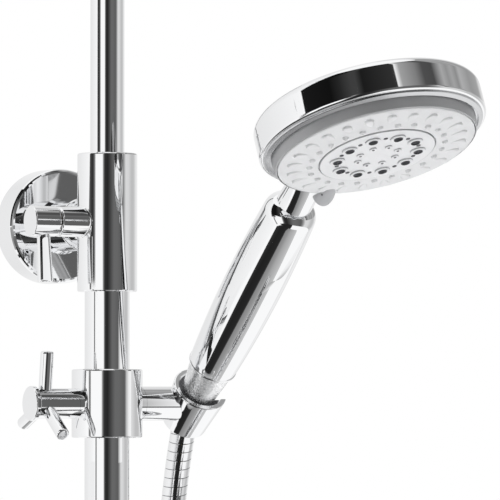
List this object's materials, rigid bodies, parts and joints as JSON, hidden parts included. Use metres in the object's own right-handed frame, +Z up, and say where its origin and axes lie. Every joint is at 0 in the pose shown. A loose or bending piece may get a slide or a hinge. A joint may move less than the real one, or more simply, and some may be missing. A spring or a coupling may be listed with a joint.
{
  "type": "shower riser with handset",
  "caption": "Chrome shower riser with a wall-fed diverter, a sliding tilting holder, a round handset with a turning spray face, and a ribbed hose.",
  "frame": {"origin": "centre of the wall flange's back face, on the axis of the inlet stem", "axes": "+Y into the wall along the inlet stem, +Z up along the riser, +X towards the handset's side"},
  "size_m": [0.1644, 0.3429, 0.5863],
  "materials": {
    "chrome": "bright chrome plate on brass",
    "plated_plastic": "bright chrome plate on moulded plastic",
    "brass": "turned brass",
    "rubber": "black rubber",
    "steel": "plain steel",
    "ceramic": "smooth pale ceramic",
    "grey_plastic": "satin grey plastic",
    "dark_plastic": "dark grey plastic",
    "white_plastic": "satin white plastic",
    "soft_white": "soft white rubber",
    "hose": "bright metallic ribbed hose"
  },
  "bodies": {
    "riser": {"wall_flange": "chrome", "flange_seal": "rubber", "inlet_stem": "brass", "arm_collar": "chrome", "collar_screw": "steel", "stem_seal": "rubber", "diverter_body": "chrome", "cartridge_sleeve": "chrome", "cartridge_body": "brass", "fixed_disc": "ceramic", "cartridge_seal": "rubber", "upper_pipe": "chrome", "upper_pipe_seal": "rubber", "lower_pipe": "chrome", "lower_pipe_seal": "rubber", "pipe_screws": "steel", "pipe_coupling": "chrome", "coupling_screws": "steel", "hose_outlet": "chrome", "outlet_seal": "rubber"},
    "diverter_lever": {"lever_hub": "chrome", "lever_pin": "chrome", "diverter_spindle": "brass", "moving_disc": "ceramic"},
    "slide_bush": {"slide_bush": "grey_plastic"},
    "slider": {"slider_body": "chrome"},
    "clamp_pad": {"clamp_pad": "brass"},
    "clamp_knob": {"knob_hub": "chrome", "knob_cap": "chrome", "knob_pins": "chrome", "clamp_screw": "steel"},
    "holder": {"cup_holder": "chrome", "cup_liner": "dark_plastic", "tilt_washer": "dark_plastic", "pivot_screw": "steel"},
    "hose": {"hose_ferrule": "brass", "hose_drop": "hose", "hose_coil": "hose", "hose_tie": "rubber", "end_ferrule": "chrome"},
    "end_nut": {"end_nut": "chrome", "end_washer": "rubber"},
    "handset": {"cone_nut": "chrome", "nut_washer": "rubber", "handset_body": "plated_plastic", "handle_insert": "brass", "waterway_tube": "grey_plastic", "rim_ring": "plated_plastic", "bevel_ring": "grey_plastic", "flow_plate": "dark_plastic", "face_screw": "steel"},
    "spray_face": {"spray_face": "white_plastic", "nozzle_ring": "soft_white", "jet_disc": "white_plastic", "selector_tab": "grey_plastic"}
  },
  "joints": [
    {"name": "lever_turn", "type": "hinge", "parent": "riser", "child": "diverter_lever", "pos_m": [-0.039, -0.074, 0], "axis": [1, 0, 0], "range_deg": [-90, 90]},
    {"name": "slider_slide", "type": "slide", "parent": "riser", "child": "slide_bush", "axis": [0, 0, 1], "range_m": [-0.21, 0.033]},
    {"name": "slider_swing", "type": "hinge", "parent": "slide_bush", "child": "slider", "pos_m": [0, -0.074, -0.1005], "axis": [0, 0, 1], "range_deg": [-40, 40]},
    {"name": "clamp_travel", "type": "slide", "parent": "slider", "child": "clamp_pad", "axis": [-1, 0, 0], "range_m": [0, 0.00125]},
    {"name": "clamp_turn", "type": "hinge", "parent": "clamp_pad", "child": "clamp_knob", "pos_m": [-0.0388, -0.074, -0.1005], "axis": [-1, 0, 0], "range_deg": [0, 360]},
    {"name": "holder_tilt", "type": "hinge", "parent": "slider", "child": "holder", "pos_m": [0.0542, -0.074, -0.1005], "axis": [1, 0, 0], "range_deg": [-25, 35]},
    {"name": "handset_lift", "type": "slide", "parent": "holder", "child": "hose", "axis": [0, -0.7314, 0.682], "range_m": [0, 0.005]},
    {"name": "handset_turn", "type": "hinge", "parent": "hose", "child": "handset", "pos_m": [0.0542, -0.074, -0.1005], "axis": [0, -0.7314, 0.682], "range_deg": [-60, 60]},
    {"name": "spray_select", "type": "hinge", "parent": "handset", "child": "spray_face", "pos_m": [0.05561, -0.27443, 0.0312], "axis": [0.0326, -0.3775, -0.9254], "range_deg": [-50, 50]},
    {"name": "end_nut_turn", "type": "hinge", "parent": "hose", "child": "end_nut", "pos_m": [0.069, -0.13426, -0.36064], "axis": [0, -0.809, -0.5878], "continuous": true}
  ],
  "couplings": [
    {"joint": "clamp_travel", "follows": "clamp_turn", "m_per_rad": 0.00019894}
  ]
}
